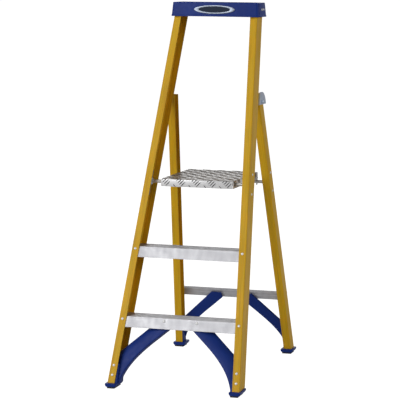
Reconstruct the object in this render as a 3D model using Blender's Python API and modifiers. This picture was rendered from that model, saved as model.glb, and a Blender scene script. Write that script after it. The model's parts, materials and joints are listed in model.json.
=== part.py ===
"""Fibreglass platform step ladder: a treaded front frame, a hinged rear frame and a lifting platform.

Metres, +Z up, origin on the floor under the middle of the open ladder. The climber faces +Y, the
treads run along X, and the rear legs stand towards +Y.
"""

import math

import bmesh
import bpy
from mathutils import Matrix

# Front frame: a plane that leans back, with a stile at each side that leans inwards
FRONT_Y = -0.417
FRONT_LEAN = math.radians(21.32)
FRONT_TAPER = math.radians(3.504)
FRONT_HALF = 0.2395
FRONT_DEPTH = 0.0767
FRONT_FLANGE = 0.026

# Rear frame: a plane that leans forward
REAR_Y = FRONT_Y + 0.786
REAR_LEAN = math.radians(17.6)
REAR_TAPER = math.radians(3.18)
REAR_HALF = 0.2302
REAR_DEPTH = 0.0472
REAR_FLANGE = 0.028
REAR_TOP_Z = 0.993
REAR_CORNER_GAP = 0.0042

# Stiles, and the gap that keeps parts from touching
WALL = 0.0035
CORNER_R = 0.003
GAP = 0.0003

# Each brace is drawn in its frame's plane, as (distance from the middle, height up the slope)
FRONT_ARCH = [(0.0260, 0.2405), (0.0855, 0.180), (0.1795, 0.1195), (0.2015, 0.0217)]
FRONT_EDGE = [(0.102, 0.2405), (0.2265, 0.1245), (0.2325, 0.0330)]
FRONT_EDGE_BEND = 0.72
FRONT_BRACE_WALL = 0.0035

# The front brace's section: the share of the way to the upper edge, and the depth behind the front face
FRONT_BRACE_SECTION = [(0, 0.036), (0, 0.0134), (0.6, 0.0170), (1, 0.029), (1, 0.036)]
REAR_TIP = ((0.0417, 0.2245), (0.0783, 0.2249))
REAR_ARCH = [(0.0373, 0.2034), (0.102, 0.142), (0.176, 0.092), (0.1985, 0.0215)]
REAR_EDGE = [(0.0793, 0.2240), (0.2150, 0.0920), (0.2215, 0.0330)]
REAR_EDGE_BEND = 0.78
REAR_BRACE = (0.0355, 0.0433)

# The plugs that fill the stiles' ends, as (inner X, outer X), (front, back) and (bottom, top) up the slope
FRONT_PLUG = ((0.2045, 0.2300), (0.0040, 0.0725), (0.014, 0.089))
REAR_PLUG = ((0.1985, 0.2216), (0.0040, 0.0425), (0.014, 0.074))
PLUG_R = 0.0035

# Foot blocks and their rubber pads, as (inner X, outer X) and (front, back) from the front or rear Y
FRONT_BLOCK = ((0.2030, 0.2435), (-0.006, 0.080))
REAR_BLOCK = ((0.1900, 0.2370), (-0.012, 0.054))
BLOCK_DRAFT = 0.004
BLOCK_HEEL = 0.008
FRONT_PAD = ((0.2080, 0.2360), (-0.006, 0.066))
REAR_PAD = ((0.1960, 0.2310), (-0.012, 0.040))
PAD_EDGE_R = 0.0012
FOOT_TOP_Z = 0.017
PAD_TOP_Z = 0.005

# Treads: the height of each one's front top edge, and the section's sizes
TREAD_Z = (0.239, 0.474)
TREAD_HEIGHT = 0.036
TREAD_WALL = 0.0028
TREAD_LIP = 0.009
GROOVE_WIDTH = 0.0022
GROOVE_DEPTH = 0.0010
GROOVE_PITCH = 0.0056

# Rear rail: the height of its lower edge at the stiles' backs, its size, and the groove's place and depth
RAIL_Z = 0.206
RAIL_HEIGHT = 0.0290
RAIL_DEPTH = 0.016
RAIL_WALL = 0.0028
RAIL_FLANGE = 0.0025
RAIL_GROOVE = ((0, 0.0175), (0.0009, 0.0181), (0.0009, 0.0195), (0, 0.0201))
RAIL_RIVET_Z = 0.2175
RAIL_RIVET_X = 0.2045
BRACE_RIVET_X = 0.062
BRACE_BOSS_R = 0.008

# Top cap
CAP_Y = FRONT_Y + 0.488
CAP_DEPTH = 0.112
CAP_HALF = 0.1665
CAP_BOTTOM_Z = 1.278
CAP_TOP_Z = 1.329
CAP_DRAFT = 0.0045
CAP_WALL = 0.003
CAP_CORNER_R = 0.012
TRAY_DEPTH = 0.005
TRAY_RIM = (0.014, 0.016)
BADGE_HALF = (0.0765, 0.0155)
BADGE_THICKNESS = 0.0016
CAP_RIVET_Z = 1.3035
CAP_RIVET_Y = (("front", 0.040), ("rear", 0.066))

# Platform, its rods and the hinge
PLATFORM_Z = 0.7076
PLATFORM_HALF = 0.1335
PLATFORM_Y = (FRONT_Y + 0.278, FRONT_Y + 0.619)
PLATFORM_WALL = 0.003
HOOK_Z = 0.660
REAR_WALL_Z = 0.692
BUSH_R = 0.0087
BUSH_FLANGE_R = 0.0112
FRONT_ROD = (FRONT_Y + 0.312, 0.694)
REAR_ROD = (FRONT_Y + 0.597, 0.674)
ROD_R = 0.006
HINGE = (FRONT_Y + 0.500, 0.975)
PIN_R = 0.004
EAR_WALL = 0.003
EAR_OFFSET = 0.0031
EAR_R = 0.045
EAR_CENTRE = (FRONT_Y + 0.502, 0.967)
EAR_TAB = ((-0.024, 0.004), (FRONT_DEPTH + 0.0005, FRONT_DEPTH + 0.0033))
EAR_TAB_Z = 0.989
EAR_TAB_LENGTH = 0.046
BRACKET_TALL = 0.095
BRACKET_WALL = 0.004
BRACKET_CORNER_R = 0.006
BOSS_R = 0.0125
BOSS_LENGTH = 0.012
STIFFENERS = (("platform_stiffener_front", 0.085), ("platform_stiffener_rear", 0.185))

SIDES = (("left", -1), ("right", 1))


def start_scene():
    """Empties the scene and makes one collection for the parts and one for the cutters."""
    for item in list(bpy.data.objects):
        bpy.data.objects.remove(item, do_unlink=True)
    made = []
    for name in ("step_ladder", "cutters"):
        collection = bpy.data.collections.new(name)
        bpy.context.scene.collection.children.link(collection)
        made.append(collection)
    return made


PARTS, CUTTERS = start_scene()


def material(name, color, roughness, metallic=0.0):
    """A Principled BSDF material."""
    made = bpy.data.materials.new(name)
    made.use_nodes = True
    shader = made.node_tree.nodes["Principled BSDF"]
    shader.inputs["Base Color"].default_value = (*color, 1.0)
    shader.inputs["Roughness"].default_value = roughness
    shader.inputs["Metallic"].default_value = metallic
    return made


FIBREGLASS = material("fibreglass", (0.62, 0.36, 0.03), 0.45)
BLUE_PLASTIC = material("blue_plastic", (0.03, 0.05, 0.22), 0.4)
ALUMINIUM = material("aluminium", (0.66, 0.66, 0.68), 0.35, 1.0)
STEEL = material("zinc_steel", (0.42, 0.45, 0.50), 0.38, 1.0)
RUBBER = material("rubber", (0.02, 0.02, 0.03), 0.8)
BADGE = material("badge_silver", (0.6, 0.6, 0.63), 0.3, 0.6)


def empty(name, location, rotation=(0, 0, 0), parent=None):
    """A guide frame that other objects are placed in."""
    made = bpy.data.objects.new(name, None)
    made.location = location
    made.rotation_euler = rotation
    made.parent = parent
    PARTS.objects.link(made)
    return made


def finish_part(made, paint, parent=None):
    """Gives an object its material, its parent and its place in the parts' collection."""
    for collection in list(made.users_collection):
        collection.objects.unlink(made)
    PARTS.objects.link(made)
    made.data.materials.clear()
    made.data.materials.append(paint)
    made.parent = parent
    made.data.set_sharp_from_angle(angle=math.radians(35))
    return made


def mirrored(outline, side):
    """An outline drawn for the right side, turned over for the left."""
    return [(side * x, y) for x, y in outline]


def rounded(outline, radius, steps=2, only=None):
    """An outline with its corners replaced by arcs, all of them or only those listed."""
    result = []
    count = len(outline)
    for index, (x, y) in enumerate(outline):
        if only is not None and index not in only:
            result.append((x, y))
            continue
        before = outline[index - 1]
        after = outline[(index + 1) % count]
        turn_in = math.atan2(before[1] - y, before[0] - x)
        turn_out = math.atan2(after[1] - y, after[0] - x)
        half = abs((turn_out - turn_in + math.pi) % (2 * math.pi) - math.pi) / 2
        reach = radius / math.tan(half)
        start = (x + reach * math.cos(turn_in), y + reach * math.sin(turn_in))
        end = (x + reach * math.cos(turn_out), y + reach * math.sin(turn_out))
        middle = ((start[0] + end[0]) / 2, (start[1] + end[1]) / 2)
        away = radius / math.sin(half)
        length = math.hypot(middle[0] - x, middle[1] - y)
        centre = (x + (middle[0] - x) * away / length, y + (middle[1] - y) * away / length)
        first = math.atan2(start[1] - centre[1], start[0] - centre[0])
        sweep = math.atan2(end[1] - centre[1], end[0] - centre[0]) - first
        sweep = (sweep + math.pi) % (2 * math.pi) - math.pi
        for step in range(steps + 1):
            angle = first + sweep * step / steps
            result.append((centre[0] + radius * math.cos(angle), centre[1] + radius * math.sin(angle)))
    return result


def prism(name, outline, length):
    """A flat outline in local XY, extruded along local Z about its middle, as a closed mesh."""
    curve = bpy.data.curves.new(name + "_outline", "CURVE")
    curve.dimensions = "2D"
    curve.fill_mode = "BOTH"
    curve.extrude = length / 2
    spline = curve.splines.new("POLY")
    spline.points.add(len(outline) - 1)
    for point, (x, y) in zip(spline.points, outline):
        point.co = (x, y, 0, 1)
    spline.use_cyclic_u = True
    flat = bpy.data.objects.new(name + "_outline", curve)
    PARTS.objects.link(flat)
    graph = bpy.context.evaluated_depsgraph_get()
    mesh = bpy.data.meshes.new_from_object(flat.evaluated_get(graph))
    bpy.data.objects.remove(flat, do_unlink=True)
    work = bmesh.new()
    work.from_mesh(mesh)
    bmesh.ops.remove_doubles(work, verts=work.verts, dist=0.00001)
    bmesh.ops.recalc_face_normals(work, faces=work.faces)
    work.to_mesh(mesh)
    work.free()
    mesh.name = name
    made = bpy.data.objects.new(name, mesh)
    PARTS.objects.link(made)
    return made


# Turns that lay a prism's length along X, with its outline in Y and Z,
# or along Y, with its outline in X and Z
ALONG_X = (math.pi / 2, 0, math.pi / 2)
ALONG_Y = (math.pi / 2, 0, 0)


def cylinder(name, radius, length, location, rotation=(0, math.pi / 2, 0), sides=16):
    """A cylinder, along X unless it is turned."""
    bpy.ops.mesh.primitive_cylinder_add(
        radius=radius, depth=length, vertices=sides, location=location, rotation=rotation)
    made = bpy.context.active_object
    made.name = name
    return made


def box(name, low, high):
    """A box between two corners, with its scale applied to its mesh."""
    bpy.ops.mesh.primitive_cube_add(size=1)
    made = bpy.context.active_object
    made.name = name
    size = [b - a for a, b in zip(low, high)]
    made.data.transform(Matrix.Diagonal((*size, 1.0)))
    made.location = [(a + b) / 2 for a, b in zip(low, high)]
    return made


def as_cutter(made):
    """Hides an object from the build and keeps it for Booleans."""
    for collection in list(made.users_collection):
        collection.objects.unlink(made)
    CUTTERS.objects.link(made)
    made.display_type = "WIRE"
    made.hide_render = True
    return made


def boolean(target, other, operation="DIFFERENCE"):
    """Adds an exact Boolean modifier."""
    step = target.modifiers.new(operation.lower(), "BOOLEAN")
    step.operation = operation
    step.solver = "EXACT"
    step.object = other


def bevel(target, width, segments=2, angle=35):
    """Rounds the edges sharper than an angle."""
    step = target.modifiers.new("bevel", "BEVEL")
    step.width = width
    step.segments = segments
    step.limit_method = "ANGLE"
    step.angle_limit = math.radians(angle)


def turned(name, profile, steps=12):
    """A mesh profile of (radius, height) points, turned round Z by a Screw modifier."""
    mesh = bpy.data.meshes.new(name)
    edges = [(i, i + 1) for i in range(len(profile) - 1)]
    mesh.from_pydata([(r, 0, z) for r, z in profile], edges, [])
    made = bpy.data.objects.new(name, mesh)
    PARTS.objects.link(made)
    add_screw(made, steps)
    return made


def add_screw(made, steps):
    """The Screw modifier that turns a profile into a closed solid."""
    step = made.modifiers.new("turn", "SCREW")
    step.steps = steps
    step.render_steps = steps
    step.use_merge_vertices = True
    step.merge_threshold = 0.00005


# Guide frames. In a frame's plane, local Y is the depth behind its front face and Z runs up the slope.
FRONT_PLANE = empty("front_plane", (0, FRONT_Y, 0), (-FRONT_LEAN, 0, 0))
REAR_AXIS = empty("rear_frame_axis", (0, *HINGE))
REAR_PLANE = empty("rear_plane", (0, REAR_Y - HINGE[0], -HINGE[1]), (REAR_LEAN, 0, 0), REAR_AXIS)
PLATFORM_AXIS = empty("platform_axis", (0, *FRONT_ROD))

FRONT_SIDE = {}
REAR_SIDE = {}
for word, side in SIDES:
    FRONT_SIDE[word] = empty(
        "front_side_" + word, (side * FRONT_HALF, 0, 0), (0, -side * FRONT_TAPER, 0), FRONT_PLANE)
    REAR_SIDE[word] = empty(
        "rear_side_" + word, (side * REAR_HALF, 0, 0), (0, -side * REAR_TAPER, 0), REAR_PLANE)


def front_slope(z, depth=0.0):
    """How far up the front frame's slope a height is, at a depth behind its front face."""
    return (z + depth * math.sin(FRONT_LEAN)) / math.cos(FRONT_LEAN)


def rear_slope(z, depth=0.0):
    """How far up the rear frame's slope a height is, at a depth behind its front face."""
    return (z - depth * math.sin(REAR_LEAN)) / math.cos(REAR_LEAN)


def front_face_y(z):
    """Where the front frame's front face is, at a height."""
    return FRONT_Y + z * math.tan(FRONT_LEAN)


def channel(width, depth):
    """A channel section for the right side: its web on x = 0, its flanges towards -X."""
    outline = [
        (0, 0), (-width, 0), (-width, WALL), (-WALL, WALL),
        (-WALL, depth - WALL), (-width, depth - WALL), (-width, depth), (0, depth)]
    return rounded(outline, CORNER_R, 2, only=(0, 7))


SOLE_CUT = as_cutter(box("sole_cut", (-0.4, -0.6, -0.2), (0.4, 0.6, PAD_TOP_Z + GAP)))


def make_stiles():
    """The four channel stiles, cut level at the feet and the rear pair cut level at the top."""
    floor_cut = as_cutter(box("floor_cut", (-0.4, -0.6, -0.2), (0.4, 0.6, FOOT_TOP_Z + GAP)))
    cap_cut = as_cutter(box("cap_cut", (-0.4, -0.6, CAP_TOP_Z - 0.028), (0.4, 0.6, 1.6)))
    rear_cut = as_cutter(box("rear_top_cut", (-0.4, -0.6, REAR_TOP_Z), (0.4, 0.6, 1.3)))
    behind_front = FRONT_DEPTH + REAR_CORNER_GAP
    corner_cut = as_cutter(box("rear_corner_cut", (-0.3, -0.1, 0.8), (0.3, behind_front, 1.2)))
    corner_cut.parent = FRONT_PLANE
    for word, side in SIDES:
        front = prism("front_stile_" + word, mirrored(channel(FRONT_FLANGE, FRONT_DEPTH), side), 1.50)
        front.location = (0, 0, 0.72)
        finish_part(front, FIBREGLASS, FRONT_SIDE[word])
        boolean(front, floor_cut)
        boolean(front, cap_cut)
        rear = prism("rear_stile_" + word, mirrored(channel(REAR_FLANGE, REAR_DEPTH), side), 1.20)
        rear.location = (0, 0, 0.55)
        finish_part(rear, FIBREGLASS, REAR_SIDE[word])
        boolean(rear, floor_cut)
        boolean(rear, rear_cut)
        boolean(rear, corner_cut)
        hole = cylinder("pivot_hole_" + word, PIN_R + 0.0004, 0.05, (side * 0.172, *HINGE))
        boolean(rear, as_cutter(hole))


def tread_outline():
    """A tread's section in Y and Z: a ribbed top, and walls that lean with the stiles."""
    lean = math.tan(FRONT_LEAN)
    width = (FRONT_DEPTH - 2 * WALL) / math.cos(FRONT_LEAN) - 2 * GAP
    top = [(0, 0)]
    place, side = 0.004, 0.0004
    while place + GROOVE_WIDTH < width - TREAD_WALL:
        top += [(place, 0), (place + side, -GROOVE_DEPTH)]
        top += [(place + GROOVE_WIDTH - side, -GROOVE_DEPTH), (place + GROOVE_WIDTH, 0)]
        place += GROOVE_PITCH
    wall, height, lip = TREAD_WALL, TREAD_HEIGHT, TREAD_LIP
    rear = [
        (width, 0), (width - height * lean, -height), (width - lip - height * lean, -height),
        (width - lip - (height - wall) * lean, wall - height),
        (width - wall - (height - wall) * lean, wall - height), (width - wall - wall * lean, -wall)]
    front = [(wall - wall * lean, -wall), (wall - height * lean, -height), (-height * lean, -height)]
    return top + rear + front


def make_treads():
    """The two extruded treads, held between the stiles' flanges."""
    for name, z in zip(("tread_lower", "tread_upper"), TREAD_Z):
        half = FRONT_HALF - front_slope(z, FRONT_DEPTH) * math.tan(FRONT_TAPER) - WALL - 0.001
        tread = prism(name, tread_outline(), 2 * half)
        tread.rotation_euler = ALONG_X
        tread.location = (0, front_face_y(z) + WALL / math.cos(FRONT_LEAN) + GAP, z)
        finish_part(tread, ALUMINIUM)


def tapered_box(name, low, high, draft, corner):
    """A box with rounded upright corners whose top is smaller by a draft on each side."""
    outline = [(low[0], low[1]), (high[0], low[1]), (high[0], high[1]), (low[0], high[1])]
    made = prism(name, rounded(outline, corner, 4), high[2] - low[2])
    middle_x = (low[0] + high[0]) / 2
    middle_y = (low[1] + high[1]) / 2
    for vertex in made.data.vertices:
        if vertex.co.z > 0:
            vertex.co.x -= math.copysign(draft, vertex.co.x - middle_x)
            vertex.co.y -= math.copysign(draft, vertex.co.y - middle_y)
    made.location.z = (low[2] + high[2]) / 2
    return made


def make_cap():
    """The moulded top cap, open below, with a shallow tray in its top."""
    low = (-CAP_HALF, CAP_Y, CAP_BOTTOM_Z)
    high = (CAP_HALF, CAP_Y + CAP_DEPTH, CAP_TOP_Z)
    cap = tapered_box("top_cap", low, high, CAP_DRAFT, CAP_CORNER_R)
    finish_part(cap, BLUE_PLASTIC)
    bevel(cap, 0.0016, 2, 60)
    inset = CAP_WALL
    below, above = 0.02, 0.02
    inner = tapered_box(
        "cap_hollow", (low[0] + inset, low[1] + inset, low[2] - below),
        (high[0] - inset, high[1] - inset, high[2] - TRAY_DEPTH - 0.004), CAP_DRAFT, CAP_CORNER_R - inset)
    boolean(cap, as_cutter(inner))
    rim_x, rim_y = TRAY_RIM
    tray = tapered_box(
        "cap_tray", (low[0] + rim_x, low[1] + rim_y, high[2] - TRAY_DEPTH),
        (high[0] - rim_x, high[1] - rim_y, high[2] + above), -0.002, 0.008)
    boolean(cap, as_cutter(tray))


def make_badge():
    """The plain oval badge on the cap's front."""
    half_wide, half_high = BADGE_HALF
    oval = [(half_wide * math.cos(a), half_high * math.sin(a)) for a in circle(28)]
    badge = prism("cap_badge", oval, BADGE_THICKNESS)
    finish_part(badge, BADGE)
    slope = math.atan2(CAP_DRAFT, CAP_TOP_Z - CAP_BOTTOM_Z)
    badge.rotation_euler = (math.pi / 2 - slope, 0, 0)
    middle_z = (CAP_BOTTOM_Z + CAP_TOP_Z) / 2
    badge.location = (-0.002, CAP_Y + CAP_DRAFT / 2 - BADGE_THICKNESS / 2 - 0.0004, middle_z)


def circle(count):
    """Angles evenly round a circle."""
    return [2 * math.pi * i / count for i in range(count)]


def brace_rows(arch, edge, bend, steps=8):
    """Pairs of points down a brace: its arched lower edge and its upper edge, which bends once."""
    top, corner, foot = edge
    rows = []
    for step in range(steps + 1):
        t = step / steps
        weights = ((1 - t) ** 3, 3 * t * (1 - t) ** 2, 3 * t * t * (1 - t), t ** 3)
        lower = [sum(w * p[k] for w, p in zip(weights, arch)) for k in (0, 1)]
        if t < bend:
            upper = [a + (b - a) * t / bend for a, b in zip(top, corner)]
        else:
            upper = [a + (b - a) * (t - bend) / (1 - bend) for a, b in zip(corner, foot)]
        rows.append((lower, upper))
    return rows


def blade(name, rows, side, section, wall):
    """A hollow-backed blade through the rows: a curving face with a return wall at each edge."""
    verts = []
    for (lower_x, lower_s), (upper_x, upper_s) in rows:
        for share, depth in section:
            x = lower_x + (upper_x - lower_x) * share
            verts.append((side * x, depth, lower_s + (upper_s - lower_s) * share))
    faces = []
    count = len(section)
    for row in range(len(rows) - 1):
        for column in range(count - 1):
            first = count * row + column
            face = (first, first + 1, first + count + 1, first + count)
            faces.append(face if side > 0 else face[::-1])
    mesh = bpy.data.meshes.new(name)
    mesh.from_pydata(verts, [], faces)
    made = bpy.data.objects.new(name, mesh)
    PARTS.objects.link(made)
    shell = made.modifiers.new("wall", "SOLIDIFY")
    shell.thickness = wall
    shell.offset = 1.0
    shell.use_even_offset = True
    return made


def foot_block(name, side, block, start_y):
    """A foot's block, drafted in below on both sides and at its heel."""
    (inner, outer), (front, back) = block
    made = box(name, (inner, start_y + front, PAD_TOP_Z - 0.001), (outer, start_y + back, FOOT_TOP_Z))
    for vertex in made.data.vertices:
        if vertex.co.z < 0:
            vertex.co.x -= math.copysign(BLOCK_DRAFT, vertex.co.x)
            if vertex.co.y > 0:
                vertex.co.y -= BLOCK_HEEL
    made.location.x *= side
    return made


def add_foot_solids(foot, side, plane, plug, block, start_y):
    """Joins a foot's plug and block to its brace, and cuts it level over the pad."""
    (inner, outer), (front, back), (bottom, top) = plug
    section = [(inner, front), (outer, front), (outer, back), (inner, back)]
    section = rounded(section, PLUG_R, 2, only=(1, 2))
    socket = prism(foot.name + "_plug", mirrored(section, side), top - bottom)
    socket.parent = plane
    socket.location = (0, 0, (bottom + top) / 2)
    boolean(foot, as_cutter(socket), "UNION")
    boolean(foot, as_cutter(foot_block(foot.name + "_block", side, block, start_y)), "UNION")
    boolean(foot, SOLE_CUT)


def make_pad(name, side, pad, start_y):
    """A rubber pad on the floor."""
    (inner, outer), (front, back) = pad
    made = box(name, (inner, start_y + front, 0), (outer, start_y + back, PAD_TOP_Z))
    made.location.x *= side
    bevel(made, PAD_EDGE_R)
    return made


def make_front_feet():
    """The moulded front feet, each with its curved brace up to the lower tread, and their pads."""
    rows = brace_rows(FRONT_ARCH, FRONT_EDGE, FRONT_EDGE_BEND)
    for word, side in SIDES:
        foot = blade("front_foot_" + word, rows, side, FRONT_BRACE_SECTION, FRONT_BRACE_WALL)
        finish_part(foot, BLUE_PLASTIC, FRONT_PLANE)
        add_foot_solids(foot, side, FRONT_PLANE, FRONT_PLUG, FRONT_BLOCK, FRONT_Y)
        finish_part(make_pad("front_pad_" + word, side, FRONT_PAD, FRONT_Y), RUBBER)


def make_rear_feet():
    """The moulded rear feet, each with its brace up to the rear rail, and their pads."""
    rows = [REAR_TIP] + brace_rows(REAR_ARCH, REAR_EDGE, REAR_EDGE_BEND)
    outline = [lower for lower, upper in rows] + [upper for lower, upper in reversed(rows)]
    front, back = REAR_BRACE
    for word, side in SIDES:
        foot = prism("rear_foot_" + word, mirrored(outline, side), back - front)
        foot.rotation_euler = ALONG_Y
        foot.location = (0, (front + back) / 2, 0)
        finish_part(foot, BLUE_PLASTIC, REAR_PLANE)
        boss = cylinder(
            "rear_boss_" + word, BRACE_BOSS_R, REAR_DEPTH - front - WALL,
            (side * BRACE_RIVET_X, (REAR_DEPTH + front + WALL) / 2, rear_slope(RAIL_RIVET_Z, REAR_DEPTH)),
            ALONG_Y, 20)
        boss.parent = REAR_PLANE
        boolean(foot, as_cutter(boss), "UNION")
        add_foot_solids(foot, side, REAR_PLANE, REAR_PLUG, REAR_BLOCK, REAR_Y)
        pad = make_pad("rear_pad_" + word, side, REAR_PAD, REAR_Y)
        finish_part(pad, RUBBER, REAR_AXIS)
        pad.location.y -= HINGE[0]
        pad.location.z -= HINGE[1]


def make_rear_rail():
    """The aluminium rail across the back of the rear stiles: a shallow channel with a groove."""
    tall, deep, wall, flange = RAIL_HEIGHT, RAIL_DEPTH, RAIL_WALL, RAIL_FLANGE
    outline = [(0, 0), *RAIL_GROOVE, (0, tall), (deep, tall), (deep, tall - flange), (wall, tall - flange)]
    outline += [(wall, flange), (deep, flange), (deep, 0)]
    half = REAR_HALF - rear_slope(RAIL_Z + RAIL_HEIGHT / 2) * math.tan(REAR_TAPER) - 0.004
    rail = prism("rear_rail", outline, 2 * half)
    rail.rotation_euler = ALONG_X
    rail.location = (0, REAR_DEPTH + GAP, rear_slope(RAIL_Z, REAR_DEPTH))
    finish_part(rail, ALUMINIUM, REAR_PLANE)


def make_bracket(name, side_frame, side, wide, depth, slope, rod, half_x):
    """A rod bracket: a plate on the inside of a stile's web with a boss that holds the rod's end."""
    y, z = wide / 2, BRACKET_TALL / 2
    outline = rounded([(-y, -z), (y, -z), (y, z), (-y, z)], BRACKET_CORNER_R, 3)
    plate = prism(name, outline, BRACKET_WALL)
    plate.rotation_euler = ALONG_X
    plate.location = (-side * (WALL + BRACKET_WALL / 2 + GAP), depth, slope)
    finish_part(plate, STEEL, side_frame)
    boss_x = half_x - BOSS_LENGTH / 2 - 0.0015
    boss = as_cutter(cylinder(name + "_boss", BOSS_R, BOSS_LENGTH, (side * boss_x, *rod), sides=20))
    hole = as_cutter(cylinder(name + "_bore", ROD_R + GAP, 0.05, (side * boss_x, *rod)))
    boolean(plate, boss, "UNION")
    boolean(plate, hole)


def make_rods():
    """The rod that the platform turns on, the rod that it rests on, and their brackets."""
    for name, rod, pivot in (("front_rod", FRONT_ROD, None), ("rear_rod", REAR_ROD, REAR_AXIS)):
        if pivot is None:
            depth = (rod[0] - FRONT_Y) * math.cos(FRONT_LEAN) - rod[1] * math.sin(FRONT_LEAN)
            slope = (rod[0] - FRONT_Y) * math.sin(FRONT_LEAN) + rod[1] * math.cos(FRONT_LEAN)
            half_x = FRONT_HALF - slope * math.tan(FRONT_TAPER) - WALL
            frames, wide, taper = FRONT_SIDE, 0.050, FRONT_TAPER
        else:
            depth = (rod[0] - REAR_Y) * math.cos(REAR_LEAN) + rod[1] * math.sin(REAR_LEAN)
            slope = rod[1] * math.cos(REAR_LEAN) - (rod[0] - REAR_Y) * math.sin(REAR_LEAN)
            half_x = REAR_HALF - slope * math.tan(REAR_TAPER) - WALL
            frames, wide, taper = REAR_SIDE, 0.036, REAR_TAPER
        along = slope / math.cos(taper)
        for word, side in SIDES:
            make_bracket(name + "_bracket_" + word, frames[word], side, wide, depth, along, rod, half_x)
            for place, offset in (("lower", -0.036), ("upper", 0.036)):
                make_rivet(
                    name + "_rivet_" + place + "_" + word, frames[word],
                    (side * GAP, depth, along + offset), (0, side * math.pi / 2, 0))
        bar = cylinder(name, ROD_R, 2 * (half_x - 0.002), (0, *rod))
        finish_part(bar, STEEL, pivot)
        if pivot is not None:
            bar.location = (0, rod[0] - HINGE[0], rod[1] - HINGE[1])


RIVET_PROFILE = [(0, 0.0022), (0.0024, 0.0019), (0.0040, 0.0010), (0.0046, 0.0), (0, 0)]


def make_rivet(name, parent, location, rotation):
    """A domed rivet head that stands along its local +Z."""
    mesh = bpy.data.meshes.get("rivet_profile")
    if mesh is None:
        mesh = bpy.data.meshes.new("rivet_profile")
        edges = [(i, i + 1) for i in range(len(RIVET_PROFILE) - 1)]
        mesh.from_pydata([(r, 0, z) for r, z in RIVET_PROFILE], edges, [])
    made = bpy.data.objects.new(name, mesh)
    PARTS.objects.link(made)
    finish_part(made, ALUMINIUM, parent)
    made.location = location
    made.rotation_euler = rotation
    add_screw(made, 12)


# Turns that point a rivet head towards the front or the back of its frame
TO_FRONT = (math.pi / 2, 0, 0)
TO_BACK = (-math.pi / 2, 0, 0)
FLANGE_RIVET_Z = {"tread_upper": 0.4655, "tread_lower": 0.2288, "foot_upper": 0.0745, "foot_lower": 0.0425}
FRONT_BRACE_RIVET = (0.0595, 0.2285)


def make_frame_rivets():
    """The rivets through the front flanges, the braces' rivets and the rear rail's rivets."""
    tread_face = WALL + GAP * math.cos(FRONT_LEAN)
    brace_x, brace_z = FRONT_BRACE_RIVET
    rail_back = REAR_DEPTH + GAP + RAIL_WALL
    for word, side in SIDES:
        for place, z in FLANGE_RIVET_Z.items():
            along = front_slope(z) / math.cos(FRONT_TAPER)
            name = "front_rivet_" + place + "_" + word
            make_rivet(name, FRONT_SIDE[word], (-side * FRONT_FLANGE / 2, -GAP, along), TO_FRONT)
        make_rivet(
            "front_brace_rivet_" + word, FRONT_PLANE,
            (side * brace_x, tread_face - GAP, front_slope(brace_z)), TO_FRONT)
        for name, x in (("rear_rail_rivet_", RAIL_RIVET_X), ("rear_brace_rivet_", BRACE_RIVET_X)):
            make_rivet(
                name + word, REAR_PLANE,
                (side * x, rail_back + GAP, rear_slope(RAIL_RIVET_Z, REAR_DEPTH)), TO_BACK)


def make_cap_rivets():
    """Two rivets on each side of the cap, square to its drafted face."""
    slope = math.atan2(CAP_DRAFT, CAP_TOP_Z - CAP_BOTTOM_Z)
    x = CAP_HALF - CAP_DRAFT / 2 + 0.0004
    for word, side in SIDES:
        for place, y in CAP_RIVET_Y:
            make_rivet(
                "cap_rivet_" + place + "_" + word, None, (side * x, CAP_Y + y, CAP_RIVET_Z),
                (0, side * (math.pi / 2 - slope), 0))


def in_rear_plane(y, z):
    """A world point's depth and height in the rear frame's plane."""
    away = y - REAR_Y
    depth = away * math.cos(REAR_LEAN) + z * math.sin(REAR_LEAN)
    slope = z * math.cos(REAR_LEAN) - away * math.sin(REAR_LEAN)
    return depth, slope


def make_hinges():
    """The hinge ears behind the front stiles and the pins that the rear stiles turn on."""
    ear_y, ear_z = EAR_CENTRE
    back = FRONT_DEPTH / math.cos(FRONT_LEAN) + 0.0005
    edge = [(ear_y + EAR_R * math.cos(a), ear_z + EAR_R * math.sin(a)) for a in quarter(8)]
    top, bottom = ear_z + EAR_R, ear_z
    outline = [(front_face_y(bottom) + back, bottom)] + edge + [(front_face_y(top) + back, top)]
    local = [in_rear_plane(y, z) for y, z in outline]
    (tab_in, tab_out), (tab_front, tab_back) = EAR_TAB
    section = [(tab_out, tab_front), (tab_in, tab_front), (tab_in, tab_back), (tab_out, tab_back)]
    for word, side in SIDES:
        ear = prism("hinge_ear_" + word, local, EAR_WALL)
        ear.rotation_euler = ALONG_X
        ear.location.x = side * EAR_OFFSET
        finish_part(ear, STEEL, empty_like(REAR_SIDE[word], "ear_plane_" + word))
        tab = prism("hinge_tab_" + word, mirrored(section, side), EAR_TAB_LENGTH)
        tab.parent = FRONT_SIDE[word]
        tab.location = (0, 0, front_slope(EAR_TAB_Z, FRONT_DEPTH))
        hole = as_cutter(cylinder("ear_hole_" + word, PIN_R + GAP, 0.05, (side * 0.175, *HINGE)))
        boolean(ear, as_cutter(tab), "UNION")
        boolean(ear, hole)
        make_pin(word, side)


def make_pin(word, side):
    """A hinge pin: a domed head outside the ear, and a riveted end inside the rear stile."""
    web_x = REAR_HALF - in_rear_plane(*HINGE)[1] * math.tan(REAR_TAPER)
    pin_x = web_x + EAR_OFFSET + EAR_WALL / 2 + 0.0009
    head = [(0, 0.0035), (0.0060, 0.0035), (0.0075, 0.0020), (0.0075, 0.0), (PIN_R, 0.0)]
    end = [(PIN_R, -0.0106), (0.0070, -0.0106), (0.0070, -0.0130), (0, -0.0130)]
    pin = turned("hinge_pin_" + word, head + end, 16)
    finish_part(pin, STEEL)
    pin.location = (side * pin_x, *HINGE)
    pin.rotation_euler = (0, side * math.pi / 2, 0)


def quarter(count):
    """Angles from the horizontal up to the vertical."""
    return [math.pi / 2 * i / count for i in range(count + 1)]


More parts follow.
